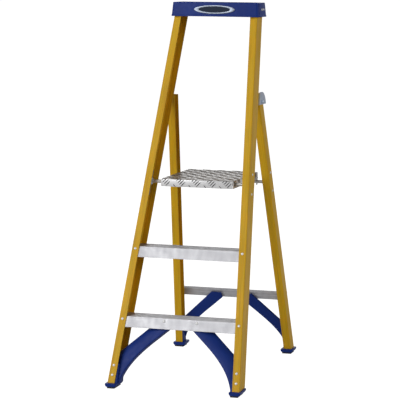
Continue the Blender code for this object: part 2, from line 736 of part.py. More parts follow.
def empty_like(guide, name):
    """A guide frame at the same place as one of the rear frame's, that stays with the front frame."""
    bpy.context.view_layer.update()
    made = empty(name, guide.matrix_world.to_translation(), guide.matrix_world.to_euler())
    return made


def make_bush(word, side):
    """A pivot bush: a sleeve through the side plate, with a flange outside it."""
    inner, flange, inside = ROD_R + GAP, 0.0016, -0.006
    sleeve = [
        (inner, flange), (BUSH_FLANGE_R, flange), (BUSH_FLANGE_R, GAP), (BUSH_R, GAP), (BUSH_R, inside),
        (inner, inside), (inner, flange)]
    bush = turned("platform_bush_" + word, sleeve, 24)
    finish_part(bush, STEEL, PLATFORM_AXIS)
    bush.location = (side * PLATFORM_HALF, 0, 0)
    bush.rotation_euler = (0, side * math.pi / 2, 0)


def make_platform():
    """The platform: a pan with side plates that hook over the rear rod, and its pivot bushes."""
    low_y, high_y = (y - FRONT_ROD[0] for y in PLATFORM_Y)
    top = PLATFORM_Z - FRONT_ROD[1]
    rest = REAR_ROD[1] + ROD_R + GAP - FRONT_ROD[1]
    lip_y = REAR_ROD[0] + ROD_R + GAP - FRONT_ROD[0]
    lip_z = HOOK_Z - FRONT_ROD[1]
    outline = [(low_y, top), (low_y, rest), (lip_y, rest), (lip_y, lip_z), (high_y, lip_z), (high_y, top)]
    outline = rounded(outline, 0.003, 3, only=(0, 5))
    pan = prism("platform", outline, 2 * PLATFORM_HALF)
    pan.rotation_euler = ALONG_X
    finish_part(pan, ALUMINIUM, PLATFORM_AXIS)
    wall = PLATFORM_WALL
    half = PLATFORM_HALF - wall
    world_y, world_z = FRONT_ROD
    hollow = box(
        "pan_hollow", (-half, world_y + low_y + wall, world_z - 0.1),
        (half, world_y + high_y - wall, world_z + top - wall))
    rear_wall = box(
        "pan_rear_wall", (-half, world_y + high_y - 0.01, world_z - 0.1),
        (half, world_y + high_y + 0.01, REAR_WALL_Z))
    boolean(pan, as_cutter(hollow))
    boolean(pan, as_cutter(rear_wall))
    for word, side in SIDES:
        hole_x = side * (PLATFORM_HALF - 0.002)
        hole = cylinder("bush_hole_" + word, BUSH_R + GAP, 0.02, (hole_x, *FRONT_ROD), sides=24)
        boolean(pan, as_cutter(hole))
        make_bush(word, side)
    for name, y in STIFFENERS:
        section = [(0, 0), (0.022, 0), (0.022, -0.002), (0.013, -0.002), (0.013, -0.014), (0.009, -0.014),
                   (0.009, -0.002), (0, -0.002)]
        bar = prism(name, section, 2 * (half - 0.001))
        bar.rotation_euler = ALONG_X
        bar.location = (0, y, top - wall - GAP)
        finish_part(bar, ALUMINIUM, PLATFORM_AXIS)


make_stiles()
make_treads()
make_cap()
make_badge()
make_front_feet()
make_rear_feet()
make_rear_rail()
make_rods()
make_frame_rivets()
make_cap_rivets()
make_hinges()
make_platform()
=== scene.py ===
"""Looks of the platform step ladder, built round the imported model.

Every piece is drawn in the frame of the member it belongs to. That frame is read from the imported
nodes: local X runs outwards, local Y is the depth behind the front face and local Z runs up the slope.
"""

import json
import math
from collections import namedtuple

import bmesh
import bpy
from mathutils import Matrix, Vector


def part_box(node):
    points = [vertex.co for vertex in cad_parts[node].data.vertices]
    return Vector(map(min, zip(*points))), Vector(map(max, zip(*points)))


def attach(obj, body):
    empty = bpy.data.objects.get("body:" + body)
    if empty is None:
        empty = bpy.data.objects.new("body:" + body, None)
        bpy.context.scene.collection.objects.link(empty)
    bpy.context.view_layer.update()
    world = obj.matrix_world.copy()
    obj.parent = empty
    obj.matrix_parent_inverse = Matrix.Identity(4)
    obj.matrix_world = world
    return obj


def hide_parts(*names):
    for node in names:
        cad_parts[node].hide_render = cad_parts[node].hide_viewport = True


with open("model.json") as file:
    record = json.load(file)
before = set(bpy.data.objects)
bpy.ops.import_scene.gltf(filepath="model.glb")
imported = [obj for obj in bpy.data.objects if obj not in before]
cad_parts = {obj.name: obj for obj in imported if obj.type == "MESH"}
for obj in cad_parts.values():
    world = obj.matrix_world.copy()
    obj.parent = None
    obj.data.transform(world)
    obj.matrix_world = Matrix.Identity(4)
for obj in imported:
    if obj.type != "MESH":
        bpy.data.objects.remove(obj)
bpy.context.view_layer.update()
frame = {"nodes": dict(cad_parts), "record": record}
SCENE = bpy.context.scene

NODES = frame["nodes"]
BODY_NODES = frame["record"]["behaviour"]["bodies"]
RIDES_ON = {node: body for body, nodes in BODY_NODES.items() for node in nodes}
SIDES = (("left", -1), ("right", 1))

# Local axes for a section drawn in world Y and Z and run along world X
ACROSS = Matrix(((0, 0, 1), (1, 0, 0), (0, 1, 0))).to_4x4()


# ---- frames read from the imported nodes

def run_of(node):
    """The direction that a stile runs up in, square to its web and to its flanges."""
    faces = sorted(NODES[node].data.polygons, key=lambda face: -face.area)
    web = faces[0].normal
    flange = next(face.normal for face in faces if abs(face.normal.dot(web)) < 0.5)
    run = web.cross(flange).normalized()
    return run if run.z > 0 else -run


def seen_from(matrix, node):
    """A node's lowest and highest corners in the axes of a frame."""
    back = matrix.inverted()
    points = [back @ vertex.co for vertex in NODES[node].data.vertices]
    low = Vector([min(point[k] for point in points) for k in range(3)])
    high = Vector([max(point[k] for point in points) for k in range(3)])
    return low, high


def plane_of(node):
    """The leaning plane of a stile's front face, with its origin on the floor at X = 0."""
    run = run_of(node)
    turn = Matrix.Rotation(math.atan2(-run.y, run.z), 4, "X")
    depth = seen_from(turn, node)[0].y
    return Matrix.Translation((0, depth / turn[1][1], 0)) @ turn


def side_of(plane, node, side):
    """The frame of one stile: its web's outer face is on local X = 0."""
    taper = math.asin(run_of(node).x)
    turn = plane @ Matrix.Rotation(taper, 4, "Y")
    low, high = seen_from(turn, node)
    edge = (high.x if side > 0 else low.x) / math.cos(taper)
    return plane @ Matrix.Translation((edge, 0, 0)) @ Matrix.Rotation(taper, 4, "Y")


FRONT = plane_of("front_stile_right")
REAR = plane_of("rear_stile_right")
FRONT_SIDE = {word: side_of(FRONT, "front_stile_" + word, side) for word, side in SIDES}
REAR_SIDE = {word: side_of(REAR, "rear_stile_" + word, side) for word, side in SIDES}


# ---- materials

class Paint:
    """A material being made, with short ways to add nodes to it.

    It starts with a flat colour and roughness, which give way to any pattern that is linked over them.
    """

    def __init__(self, name, color, roughness, metallic=0.0):
        self.material = bpy.data.materials.new(name)
        self.material.use_nodes = True
        self.tree = self.material.node_tree
        self.shader = self.tree.nodes["Principled BSDF"]
        self.put(self.shader, {
            "Base Color": (*color, 1.0), "Roughness": roughness, "Metallic": metallic})
        self.place = self.tree.nodes.new("ShaderNodeTexCoord").outputs["Object"]

    def put(self, node, inputs):
        """Sets a node's inputs to values, or links them to other nodes' outputs."""
        for name, value in inputs.items():
            if isinstance(value, bpy.types.NodeSocket):
                self.tree.links.new(value, node.inputs[name])
            else:
                node.inputs[name].default_value = value
        return node

    def add(self, kind, inputs, **settings):
        """Adds a node."""
        node = self.tree.nodes.new("ShaderNode" + kind)
        for name, value in settings.items():
            setattr(node, name, value)
        return self.put(node, inputs)

    def noise(self, scale, detail=2.0, stretch=(1, 1, 1)):
        """Noise over the object's own coordinates, drawn out along its axes."""
        place = self.add("Mapping", {"Vector": self.place, "Scale": stretch}).outputs["Vector"]
        node = self.add("TexNoise", {"Vector": place, "Scale": scale, "Detail": detail})
        return node.outputs["Fac"]

    def ramp(self, value, low, high, first, last):
        """A value spread from one range over another, held at its ends."""
        node = self.add("MapRange", {
            "Value": value, "From Min": low, "From Max": high, "To Min": first, "To Max": last})
        return node.outputs["Result"]

    def blend(self, share, first, last, mode="MIX"):
        """Two colours mixed by a share."""
        node = self.add("Mix", {0: share}, data_type="RGBA", blend_type=mode)
        for index, value in ((6, first), (7, last)):
            if isinstance(value, bpy.types.NodeSocket):
                self.tree.links.new(value, node.inputs[index])
            else:
                node.inputs[index].default_value = (*value, 1.0)
        return node.outputs[2]

    def upward(self):
        """One where the surface faces up in the object's own frame, and zero where it's upright; it sets
        the painted light and shade of the checker plate and its bars.
        """
        normal = self.tree.nodes.new("ShaderNodeTexCoord").outputs["Normal"]
        height = self.add("SeparateXYZ", {"Vector": normal}).outputs["Z"]
        return self.ramp(height, 0.35, 0.65, 0, 1)

    def math(self, kind, first, second):
        """Two values put together."""
        return self.add("Math", {0: first, 1: second}, operation=kind).outputs[0]

    def coat(self, color, rough):
        """Links a colour and a roughness to the shader."""
        self.put(self.shader, {"Base Color": color, "Roughness": rough})

    def bump(self, height, strength, distance):
        """Relief from a height."""
        node = self.add("Bump", {"Height": height, "Strength": strength, "Distance": distance})
        self.put(self.shader, {"Normal": node.outputs["Normal"]})


def fibreglass():
    """Yellow pultruded fibreglass: strands along the stile, cloudy resin and a satin skin."""
    paint = Paint("fibreglass", (0.72, 0.42, 0.012), 0.45)
    strands = paint.noise(420, 3, (1, 1, 0.012))
    bands = paint.noise(60, 2, (1, 1, 0.03))
    clouds = paint.noise(9, 4, (1, 1, 0.5))
    mottle = paint.noise(55, 3, (1, 1, 0.35))
    body = paint.blend(paint.ramp(clouds, 0.3, 0.7, 0, 1), (0.96, 0.525, 0.012), (0.77, 0.425, 0.010))
    body = paint.blend(paint.ramp(mottle, 0.42, 0.66, 0, 0.6), body, (0.72, 0.475, 0.018))
    body = paint.blend(paint.ramp(bands, 0.44, 0.66, 0, 0.45), body, (0.95, 0.58, 0.022))
    body = paint.blend(paint.ramp(strands, 0.50, 0.72, 0, 0.60), body, (0.43, 0.215, 0.020))
    rough = paint.ramp(clouds, 0.3, 0.7, 0.38, 0.52)
    paint.put(paint.shader, {"Base Color": body, "Roughness": rough, "Specular IOR Level": 0.22})
    paint.bump(paint.math("ADD", strands, paint.math("MULTIPLY", bands, 1.6)), 0.30, 0.0004)
    return paint.material


def blue_plastic():
    """Blue moulded plastic with a fine spark-eroded grain and faint scuffs."""
    paint = Paint("blue_plastic", (0.008, 0.026, 0.190), 0.46)
    grain = paint.noise(1400, 2)
    clouds = paint.noise(14, 3)
    scuffs = paint.noise(70, 5, (1, 0.25, 1))
    body = paint.blend(paint.ramp(clouds, 0.3, 0.7, 0, 1), (0.009, 0.040, 0.268), (0.007, 0.031, 0.220))
    body = paint.blend(paint.ramp(scuffs, 0.66, 0.80, 0, 0.30), body, (0.03, 0.08, 0.31))
    rough = paint.ramp(scuffs, 0.35, 0.75, 0.38, 0.54)
    paint.put(paint.shader, {"Base Color": body, "Roughness": rough, "Specular IOR Level": 0.20})
    paint.bump(grain, 0.30, 0.0002)
    return paint.material


def aluminium(name, tone, rough_low):
    """Mill-finish extruded aluminium: die lines along local Z and dull handling marks across them."""
    paint = Paint(name, (tone, tone, tone * 1.03), rough_low + 0.08, 0.70)
    lines = paint.noise(900, 2, (1, 1, 0.004))
    blotches = paint.noise(48, 3, (1, 0.35, 1))
    light, dull = (tone, tone, tone * 1.04), (tone * 0.90, tone * 0.90, tone * 0.95)
    body = paint.blend(paint.ramp(blotches, 0.35, 0.70, 0, 1), light, dull)
    marks = paint.ramp(blotches, 0.3, 0.7, rough_low, rough_low + 0.12)
    rough = paint.math("ADD", marks, paint.ramp(lines, 0.3, 0.7, 0, 0.10))
    paint.coat(body, rough)
    paint.bump(lines, 0.18, 0.0002)
    return paint.material


def checker_plate():
    """Rolled checker-plate aluminium, with painted light and shade: the upright flanges are painted bright
    and the top dark, for how the light falls on them.
    """
    paint = Paint("checker_plate", (0.70, 0.69, 0.68), 0.38, 0.45)
    rolled = paint.noise(500, 2, (0.02, 1, 1))
    blotches = paint.noise(30, 4)
    scuffs = paint.noise(160, 5, (1, 0.4, 1))
    # Painted shade on the top and a painted highlight on the flanges: the colour follows which way each
    # face points.
    top = paint.blend(paint.ramp(blotches, 0.35, 0.7, 0, 1), (0.31, 0.295, 0.28), (0.24, 0.225, 0.215))
    body = paint.blend(paint.upward(), (0.92, 0.92, 0.93), top)
    rough = paint.math(
        "ADD", paint.ramp(rolled, 0.3, 0.7, 0.26, 0.36), paint.ramp(scuffs, 0.5, 0.8, 0, 0.16))
    paint.coat(body, rough)
    paint.bump(rolled, 0.10, 0.0002)
    return paint.material


def checker_bar():
    """The plate's raised bars: painted near black on the flanges as painted shadow between the bars, and
    painted lighter on top, near the sheet's painted tone.
    """
    paint = Paint("checker_bar", (0.30, 0.29, 0.28), 0.42, 0.45)
    worn = paint.noise(140, 4)
    top = paint.blend(paint.ramp(worn, 0.35, 0.7, 0, 1), (0.21, 0.195, 0.18), (0.29, 0.275, 0.26))
    # Painted shadow: the bars' upright faces are painted near black and their tops lighter, by which way
    # each face points.
    body = paint.blend(paint.upward(), (0.060, 0.060, 0.065), top)
    paint.coat(body, paint.ramp(worn, 0.3, 0.7, 0.36, 0.50))
    paint.bump(worn, 0.10, 0.0002)
    return paint.material


def rod_steel():
    """The bright drawn steel of the rods, with fine marks round them."""
    paint = Paint("rod_steel", (0.66, 0.64, 0.60), 0.34, 0.6)
    drawn = paint.noise(600, 2, (1, 1, 0.05))
    stains = paint.noise(60, 4)
    body = paint.blend(paint.ramp(stains, 0.35, 0.7, 0, 1), (0.68, 0.66, 0.62), (0.52, 0.50, 0.46))
    paint.coat(body, paint.ramp(drawn, 0.3, 0.7, 0.28, 0.44))
    paint.bump(drawn, 0.15, 0.0001)
    return paint.material


def zinc_steel():
    """Zinc-plated steel: blue-grey, with the plating's faint crystal pattern."""
    paint = Paint("zinc_steel", (0.58, 0.65, 0.77), 0.40, 0.70)
    crystals = paint.add("TexVoronoi", {"Vector": paint.place, "Scale": 240}).outputs["Color"]
    clouds = paint.noise(45, 4)
    body = paint.blend(paint.ramp(clouds, 0.3, 0.7, 0, 1), (0.66, 0.73, 0.86), (0.50, 0.57, 0.69))
    body = paint.blend(0.12, body, crystals, "OVERLAY")
    rough = paint.ramp(clouds, 0.3, 0.7, 0.28, 0.44)
    paint.coat(body, rough)
    paint.bump(clouds, 0.10, 0.0003)
    return paint.material


def rivet_metal():
    """Bright rivet aluminium with the setting tool's fine marks."""
    paint = Paint("rivet", (0.90, 0.90, 0.89), 0.32, 0.5)
    marks = paint.noise(700, 3)
    rough = paint.ramp(marks, 0.3, 0.7, 0.22, 0.40)
    paint.put(paint.shader, {"Roughness": rough})
    paint.bump(marks, 0.2, 0.0001)
    return paint.material


def rubber():
    """Dark sole rubber with a dusty, pitted surface."""
    paint = Paint("rubber_pad", (0.018, 0.019, 0.026), 0.8)
    dust = paint.noise(120, 5)
    pits = paint.noise(1600, 2)
    body = paint.blend(paint.ramp(dust, 0.45, 0.75, 0, 0.6), (0.014, 0.015, 0.022), (0.07, 0.07, 0.075))
    paint.coat(body, paint.ramp(dust, 0.3, 0.7, 0.7, 0.9))
    paint.bump(pits, 0.4, 0.0002)
    return paint.material


def badge_metal():
    """The badge's satin silver face, brushed across."""
    paint = Paint("badge", (0.36, 0.41, 0.50), 0.36, 0.5)
    brushed = paint.noise(1500, 2, (0.01, 1, 1))
    paint.put(paint.shader, {"Roughness": paint.ramp(brushed, 0.3, 0.7, 0.24, 0.42)})
    paint.bump(brushed, 0.2, 0.0001)
    return paint.material


def badge_field():
    """The badge's dark middle, a plain oval."""
    paint = Paint("badge_field", (0.012, 0.022, 0.050), 0.50)
    fine = paint.noise(900, 2)
    rough = paint.ramp(fine, 0.3, 0.7, 0.44, 0.56)
    paint.put(paint.shader, {"Roughness": rough, "Specular IOR Level": 0.2})
    paint.bump(fine, 0.2, 0.0001)
    return paint.material


PAINTS = {
    "fibreglass": fibreglass(),
    "blue_plastic": blue_plastic(),
    "aluminium": aluminium("aluminium", 0.50, 0.32),
    "dull_aluminium": aluminium("dull_aluminium", 0.58, 0.45),
    "checker_plate": checker_plate(),
    "checker_bar": checker_bar(),
    "rod_steel": rod_steel(),
    "zinc_steel": zinc_steel(),
    "rivet": rivet_metal(),
    "rubber_pad": rubber(),
    "badge": badge_metal(),
    "badge_field": badge_field()}


# ---- mesh tools

def rounded(corners, steps=5):
    """A closed outline from (x, y, radius) corners, each with a radius replaced by an arc."""
    outline = []
    for index, (x, y, radius) in enumerate(corners):
        if radius == 0:
            outline.append((x, y))
            continue
        here = Vector((x, y))
        back = (Vector(corners[index - 1][:2]) - here).normalized()
        ahead = (Vector(corners[(index + 1) % len(corners)][:2]) - here).normalized()
        half = back.angle(ahead) / 2
        centre = here + (back + ahead).normalized() * radius / math.sin(half)
        first = here + back * radius / math.tan(half) - centre
        last = here + ahead * radius / math.tan(half) - centre
        sweep = first.angle_signed(last)
        for step in range(steps + 1):
            turn = Matrix.Rotation(-sweep * step / steps, 2)
            outline.append(tuple(centre + turn @ first))
    return outline


def rectangle(left, near, right, far, radius, steps):
    """A rectangle's outline with its corners rounded."""
    corners = (left, near), (right, near), (right, far), (left, far)
    return rounded([(x, y, radius) for x, y in corners], steps)


def rounded_ring(half_x, half_y, radius, z, steps=6):
    """A rounded rectangle about the origin, at a height."""
    return [(x, y, z) for x, y in rectangle(-half_x, -half_y, half_x, half_y, radius, steps)]


def mirror_x(outline, side):
    """An outline drawn for the right, turned over for the left."""
    return [(side * x, y) for x, y in outline]


def ellipse(half_wide, half_high, z, count):
    """An ellipse about the origin, at a height."""
    turns = [2 * math.pi * i / count for i in range(count)]
    return [(half_wide * math.cos(turn), half_high * math.sin(turn), z) for turn in turns]


def loft(work, rings):
    """Joins rings of points with faces, and closes the two ends."""
    rows = [[work.verts.new(point) for point in ring] for ring in rings]
    count = len(rings[0])
    for below, above in zip(rows, rows[1:]):
        for k in range(count):
            after = (k + 1) % count
            work.faces.new((below[k], below[after], above[after], above[k]))
    work.faces.new(rows[0][::-1])
    work.faces.new(rows[-1])


def finished(name, work, sharp):
    """Turns the work into a mesh that is smooth except at its sharp edges."""
    bmesh.ops.recalc_face_normals(work, faces=work.faces)
    mesh = bpy.data.meshes.new(name)
    work.to_mesh(mesh)
    work.free()
    mesh.shade_smooth()
    if sharp:
        mesh.set_sharp_from_angle(angle=math.radians(sharp))
    return mesh


def put(name, node, work, matrix, paint, sharp=35):
    """Places the work as a piece that stands for a CAD node and rides with it."""
    made = bpy.data.objects.new(name, finished(name, work, sharp))
    SCENE.collection.objects.link(made)
    made.matrix_world = matrix
    made.data.materials.append(PAINTS[paint])
    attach(made, RIDES_ON[node])
    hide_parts(node)
    return made


def soften(made, width, segments, angle):
    """Breaks a piece's sharp edges, and keeps its flat faces flat in the light."""
    step = made.modifiers.new("edges", "BEVEL")
    step.width = width
    step.segments = segments
    step.limit_method = "ANGLE"
    step.angle_limit = math.radians(angle)
    shade = made.modifiers.new("shading", "WEIGHTED_NORMAL")
    shade.weight = 80


def prism(outline, low, high):
    """A section in local X and Y, run along local Z."""
    work = bmesh.new()
    loft(work, [[(x, y, z) for x, y in outline] for z in (low, high)])
    return work


# ---- stiles

WALL = 0.0035
FLANGE_TIP_R = 0.0012
OUTER_R = 0.0036
INNER_R = 0.0022
STILE_GAP = 0.0042  # between a rear stile's top and the back of the front stiles


def channel(width, depth):
    """A pultruded channel's section for the right side, with its web on x = 0."""
    return rounded([
        (0, 0, OUTER_R), (-width, 0, FLANGE_TIP_R), (-width, WALL, FLANGE_TIP_R),
        (-WALL, WALL, INNER_R), (-WALL, depth - WALL, INNER_R), (-width, depth - WALL, FLANGE_TIP_R),
        (-width, depth, FLANGE_TIP_R), (0, depth, OUTER_R)], 4)


def reach(matrix, x, y, point, normal):
    """The local Z where the line up through (x, y) meets a plane."""
    start = matrix @ Vector((x, y, 0))
    run = matrix.to_3x3() @ Vector((0, 0, 1))
    return (point - start).dot(normal) / run.dot(normal)


def make_stiles():
    """The four stiles, each cut by the same planes as its CAD node."""
    up = Vector((0, 0, 1))
    behind = FRONT.to_3x3() @ Vector((0, 1, 0))
    front_depth = seen_from(FRONT, "front_stile_right")[1].y
    clear_of_front = FRONT @ Vector((0, front_depth + STILE_GAP, 0))
    for kind, frames in (("front", FRONT_SIDE), ("rear", REAR_SIDE)):
        for word, side in SIDES:
            node = f"{kind}_stile_{word}"
            matrix = frames[word]
            low, high = seen_from(matrix, node)
            outline = mirror_x(channel(high.x - low.x, high.y - low.y), side)
            bottom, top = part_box(node)
            lower = [(x, y, reach(matrix, x, y, bottom, up)) for x, y in outline]
            upper = []
            for x, y in outline:
                z = reach(matrix, x, y, top, up)
                if kind == "rear":
                    z = min(z, reach(matrix, x, y, clear_of_front, behind))
                upper.append((x, y, z))
            work = bmesh.new()
            loft(work, [lower, upper])
            piece = put(f"{kind}_stile_skin_{word}", node, work, matrix, "fibreglass", 0)
            soften(piece, 0.0003, 1, 60)


# ---- treads

def tread_section(width, height, lean):
    """A tread's section in Y and Z, from its front top edge, with round-topped ribs."""
    wall, lip = 0.0028, 0.009
    ribs = 13
    margin = 0.0030
    pitch = (width - 2 * margin) / ribs
    deep, valley = 0.0010, 0.0015
    top = [(0, -0.0008), (0.0003, -0.0002), (0.0010, 0)]
    for rib in range(ribs):
        start = margin + rib * pitch
        top += [(start, 0), (start + 0.0005, -deep), (start + valley, -deep)]
        for step in range(5):
            angle = math.pi * step / 4
            crown = start + valley + (pitch - valley) * (1 - math.cos(angle)) / 2
            top.append((crown + 0.0002, -deep + deep * math.sin(angle) ** 0.7))
    top.append((width, 0))
    foot, sole = height * lean, (height - wall) * lean
    rear = [
        (width - foot, -height), (width - lip - foot, -height), (width - lip - sole, wall - height),
        (width - wall - sole, wall - height), (width - wall - wall * lean, -wall - deep)]
    front = [
        (wall - wall * lean, -wall - deep), (wall - sole, wall - height), (lip - sole, wall - height),
        (lip - foot, -height), (0.0008 - foot, -height), (-foot, 0.0008 - height)]
    return top + rear + front


def make_treads():
    """The two extruded treads between the stiles."""
    lean = FRONT[1][2] / FRONT[2][2]
    for name in ("tread_lower", "tread_upper"):
        low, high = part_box(name)
        height = high.z - low.z
        width = high.y - low.y - height * lean
        matrix = Matrix.Translation((0, high.y - width, high.z)) @ ACROSS
        work = prism(tread_section(width, height, lean), low.x, high.x)
        put(name + "_extrusion", name, work, matrix, "aluminium")


# ---- platform

BEND_R = 0.003
BEND_STEPS = 6
SHEET = 0.0025
REST_GAP = 0.0003  # between the pan and the rod that it rests on
REAR_FLANGE_Z = 0.692
BAR_CELL = 0.0400
BAR_LONG = 0.0245
BAR_LEAST = 0.0045
BAR_WIDE = 0.0034
BAR_HIGH = 0.0013
BAR_PITCH = 0.0082
BARS = 4
BAR_STEPS = 8
BAR_SECTION = ((-1, -0.25), (-0.8, 0.45), (-0.35, 0.94), (0.35, 0.94), (0.8, 0.45), (1, -0.25))
BAR_SUNK = 0.0003
PATTERN_X = -0.0025
PATTERN_V = -0.0062
PATTERN_EDGE = 0.0015


def fold_map(half, front_y, top):
    """A function from flat sheet coordinates to the folded pan's outer surface.

    Flat x runs across, flat v runs back from the front fold, and h stands off the surface.
    """
    arc = BEND_R * math.pi / 2

    def bend(beyond, h):
        """How far out and how far down the fold carries a point that lies beyond its start."""
        angle = min(beyond / BEND_R, math.pi / 2)
        drop = max(0.0, beyond - arc)
        return (BEND_R + h) * math.sin(angle), BEND_R - (BEND_R + h) * math.cos(angle) + drop

    def place(x, v, h):
        beyond_front = BEND_R - v
        beyond_side = abs(x) - (half - BEND_R)
        if beyond_front > 0:
            out, down = bend(beyond_front, h)
            return (x, front_y + BEND_R - out, top - down)
        if beyond_side > 0:
            out, down = bend(beyond_side, h)
            return (math.copysign(half - BEND_R + out, x), front_y + v, top - down)
        return (x, front_y + v, top + h)
    return place


def add_bar(work, place, centre, slant, limits):
    """One raised lens-shaped bar on the sheet, cut short where the sheet ends."""
    run = Vector((math.sqrt(0.5), slant * math.sqrt(0.5)))
    square = Vector((-run.y, run.x))
    first, last = -BAR_LONG / 2, BAR_LONG / 2
    (low_x, high_x), (low_v, high_v) = limits
    for axis, low, high in ((0, low_x, high_x), (1, low_v, high_v)):
        ends = sorted(((low - centre[axis]) / run[axis], (high - centre[axis]) / run[axis]))
        first = max(first, ends[0])
        last = min(last, ends[1])
    if last - first < BAR_LEAST:
        return
    rings = []
    for step in range(BAR_STEPS + 1):
        t = -math.cos(math.pi * step / BAR_STEPS)
        along = (first + last) / 2 + t * (last - first) / 2
        swell = max(0.02, 1 - abs(t) ** 2.6)
        wide = BAR_WIDE / 2 * swell ** 0.6
        high = BAR_HIGH * swell ** 0.7
        ring = []
        for share, lift in BAR_SECTION:
            point = Vector(centre) + run * along + square * wide * share
            ring.append(place(point.x, point.y, high * lift if lift > 0 else -BAR_SUNK))
        rings.append(ring)
    loft(work, rings)


def add_pattern(work, place, half, long_v, low_v):
    """The raised pattern: square cells of four bars at 45 degrees, with every other row turned."""
    repeat = BAR_CELL * math.sqrt(2)
    row = repeat / 2
    flat = half - BEND_R
    side_x = half + abs(low_v) - PATTERN_EDGE
    front_v, back_v = low_v + PATTERN_EDGE, long_v - PATTERN_EDGE
    for j in range(-2, int(long_v / row) + 3):
        slant = 1 if j % 2 == 0 else -1
        shift = 0 if j % 2 == 0 else row
        for i in range(-5, 6):
            cell = Vector((PATTERN_X + shift + i * repeat, PATTERN_V + j * row))
            for bar in range(BARS):
                step = (bar - (BARS - 1) / 2) * BAR_PITCH
                centre = cell + Vector((-slant, 1)) * math.sqrt(0.5) * step
                if centre.y < BEND_R:
                    limits = ((-flat, flat), (front_v, long_v))
                elif abs(centre.x) > flat:
                    limits = ((-side_x, side_x), (BEND_R + PATTERN_EDGE, back_v))
                else:
                    limits = ((-side_x, side_x), (front_v, back_v))
                add_bar(work, place, centre, slant, limits)


def fold_strip(work, first, last, start, end):
    """A quarter bend between two parallel edges of the pan."""
    rows = []
    for step in range(BEND_STEPS + 1):
        angle = math.pi / 2 * step / BEND_STEPS
        offset = Vector(start) * math.cos(angle) + Vector(end) * math.sin(angle)
        rows.append([work.verts.new(Vector(point) + offset) for point in (first, last)])
    for one, two in zip(rows, rows[1:]):
        work.faces.new((one[0], one[1], two[1], two[0]))


def pan_skin(low, high, rest, hook_y):
    """The pan's outer surface: its top, its flanges, and its side plates with their hooks."""
    half, top = high.x, high.z
    r = BEND_R
    inner_x, first_y, last_y, down = half - r, low.y + r, high.y - r, top - r
    work = bmesh.new()
    corners = [work.verts.new((x, y, top)) for x, y in (
        (-inner_x, first_y), (inner_x, first_y), (inner_x, last_y), (-inner_x, last_y))]
    work.faces.new(corners)
    for y, way, end_z in ((first_y, -1, rest), (last_y, 1, REAR_FLANGE_Z)):
        fold_strip(work, (-inner_x, y, down), (inner_x, y, down), (0, 0, r), (0, way * r, 0))
        edge = y + way * r
        work.faces.new([work.verts.new((x, edge, z)) for x, z in (
            (-inner_x, down), (inner_x, down), (inner_x, end_z), (-inner_x, end_z))])
    plate = rounded([
        (first_y, down, 0), (first_y, rest, 0.003), (hook_y, rest, 0), (hook_y, low.z, 0.004),
        (high.y, low.z, 0.006), (high.y, down, 0.002), (last_y, down, 0)], 4)
    for side in (-1, 1):
        fold_strip(
            work, (side * inner_x, first_y, down), (side * inner_x, last_y, down),
            (0, 0, r), (side * r, 0, 0))
        work.faces.new([work.verts.new((side * half, y, z)) for y, z in plate])
    bmesh.ops.remove_doubles(work, verts=work.verts, dist=0.00002)
    return finished("platform_skin", work, 0)


def thickened(skin):
    """The mesh of a skin made into sheet, with its edges broken."""
    shell = bpy.data.objects.new("platform_skin", skin)
    SCENE.collection.objects.link(shell)
    wall = shell.modifiers.new("sheet", "SOLIDIFY")
    wall.thickness = SHEET
    wall.offset = -1
    edges = shell.modifiers.new("edges", "BEVEL")
    edges.width = 0.0004
    edges.segments = 2
    edges.angle_limit = math.radians(60)
    graph = bpy.context.evaluated_depsgraph_get()
    solid = bpy.data.meshes.new_from_object(shell.evaluated_get(graph))
    bpy.data.objects.remove(shell)
    return solid


def make_platform():
    """The folded checker-plate pan, its hook plates, and its raised pattern."""
    low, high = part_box("platform")
    rod_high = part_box("rear_rod")[1]
    rest = rod_high.z + REST_GAP
    solid = thickened(pan_skin(low, high, rest, rod_high.y + REST_GAP))
    work = bmesh.new()
    place = fold_map(high.x, low.y, high.z)
    add_pattern(work, place, high.x, high.y - low.y, rest - high.z)
    for face in work.faces:
        face.material_index = 1
    work.from_mesh(solid)
    pan = put("platform_pan", "platform", work, Matrix(), "checker_plate", 38)
    pan.data.materials.append(PAINTS["checker_bar"])


# ---- top cap and badge

CAP_CORNER_R = 0.012
CAP_WALL = 0.003
CAP_EDGE_R = 0.0022
CAP_DRAFT = 0.0045
CAP_STEP = 0.0007  # how far the walls stand in above the band round the bottom
CAP_LAND_X, CAP_LAND_Y = 0.0110, 0.0115
CAP_LAND_R = 0.0012
CAP_FILLET = 0.0018
CAP_TRAY = 0.005
CAP_RIBS = (-0.105, -0.035, 0.035, 0.105)
CAP_RIB_HALF = 0.0011


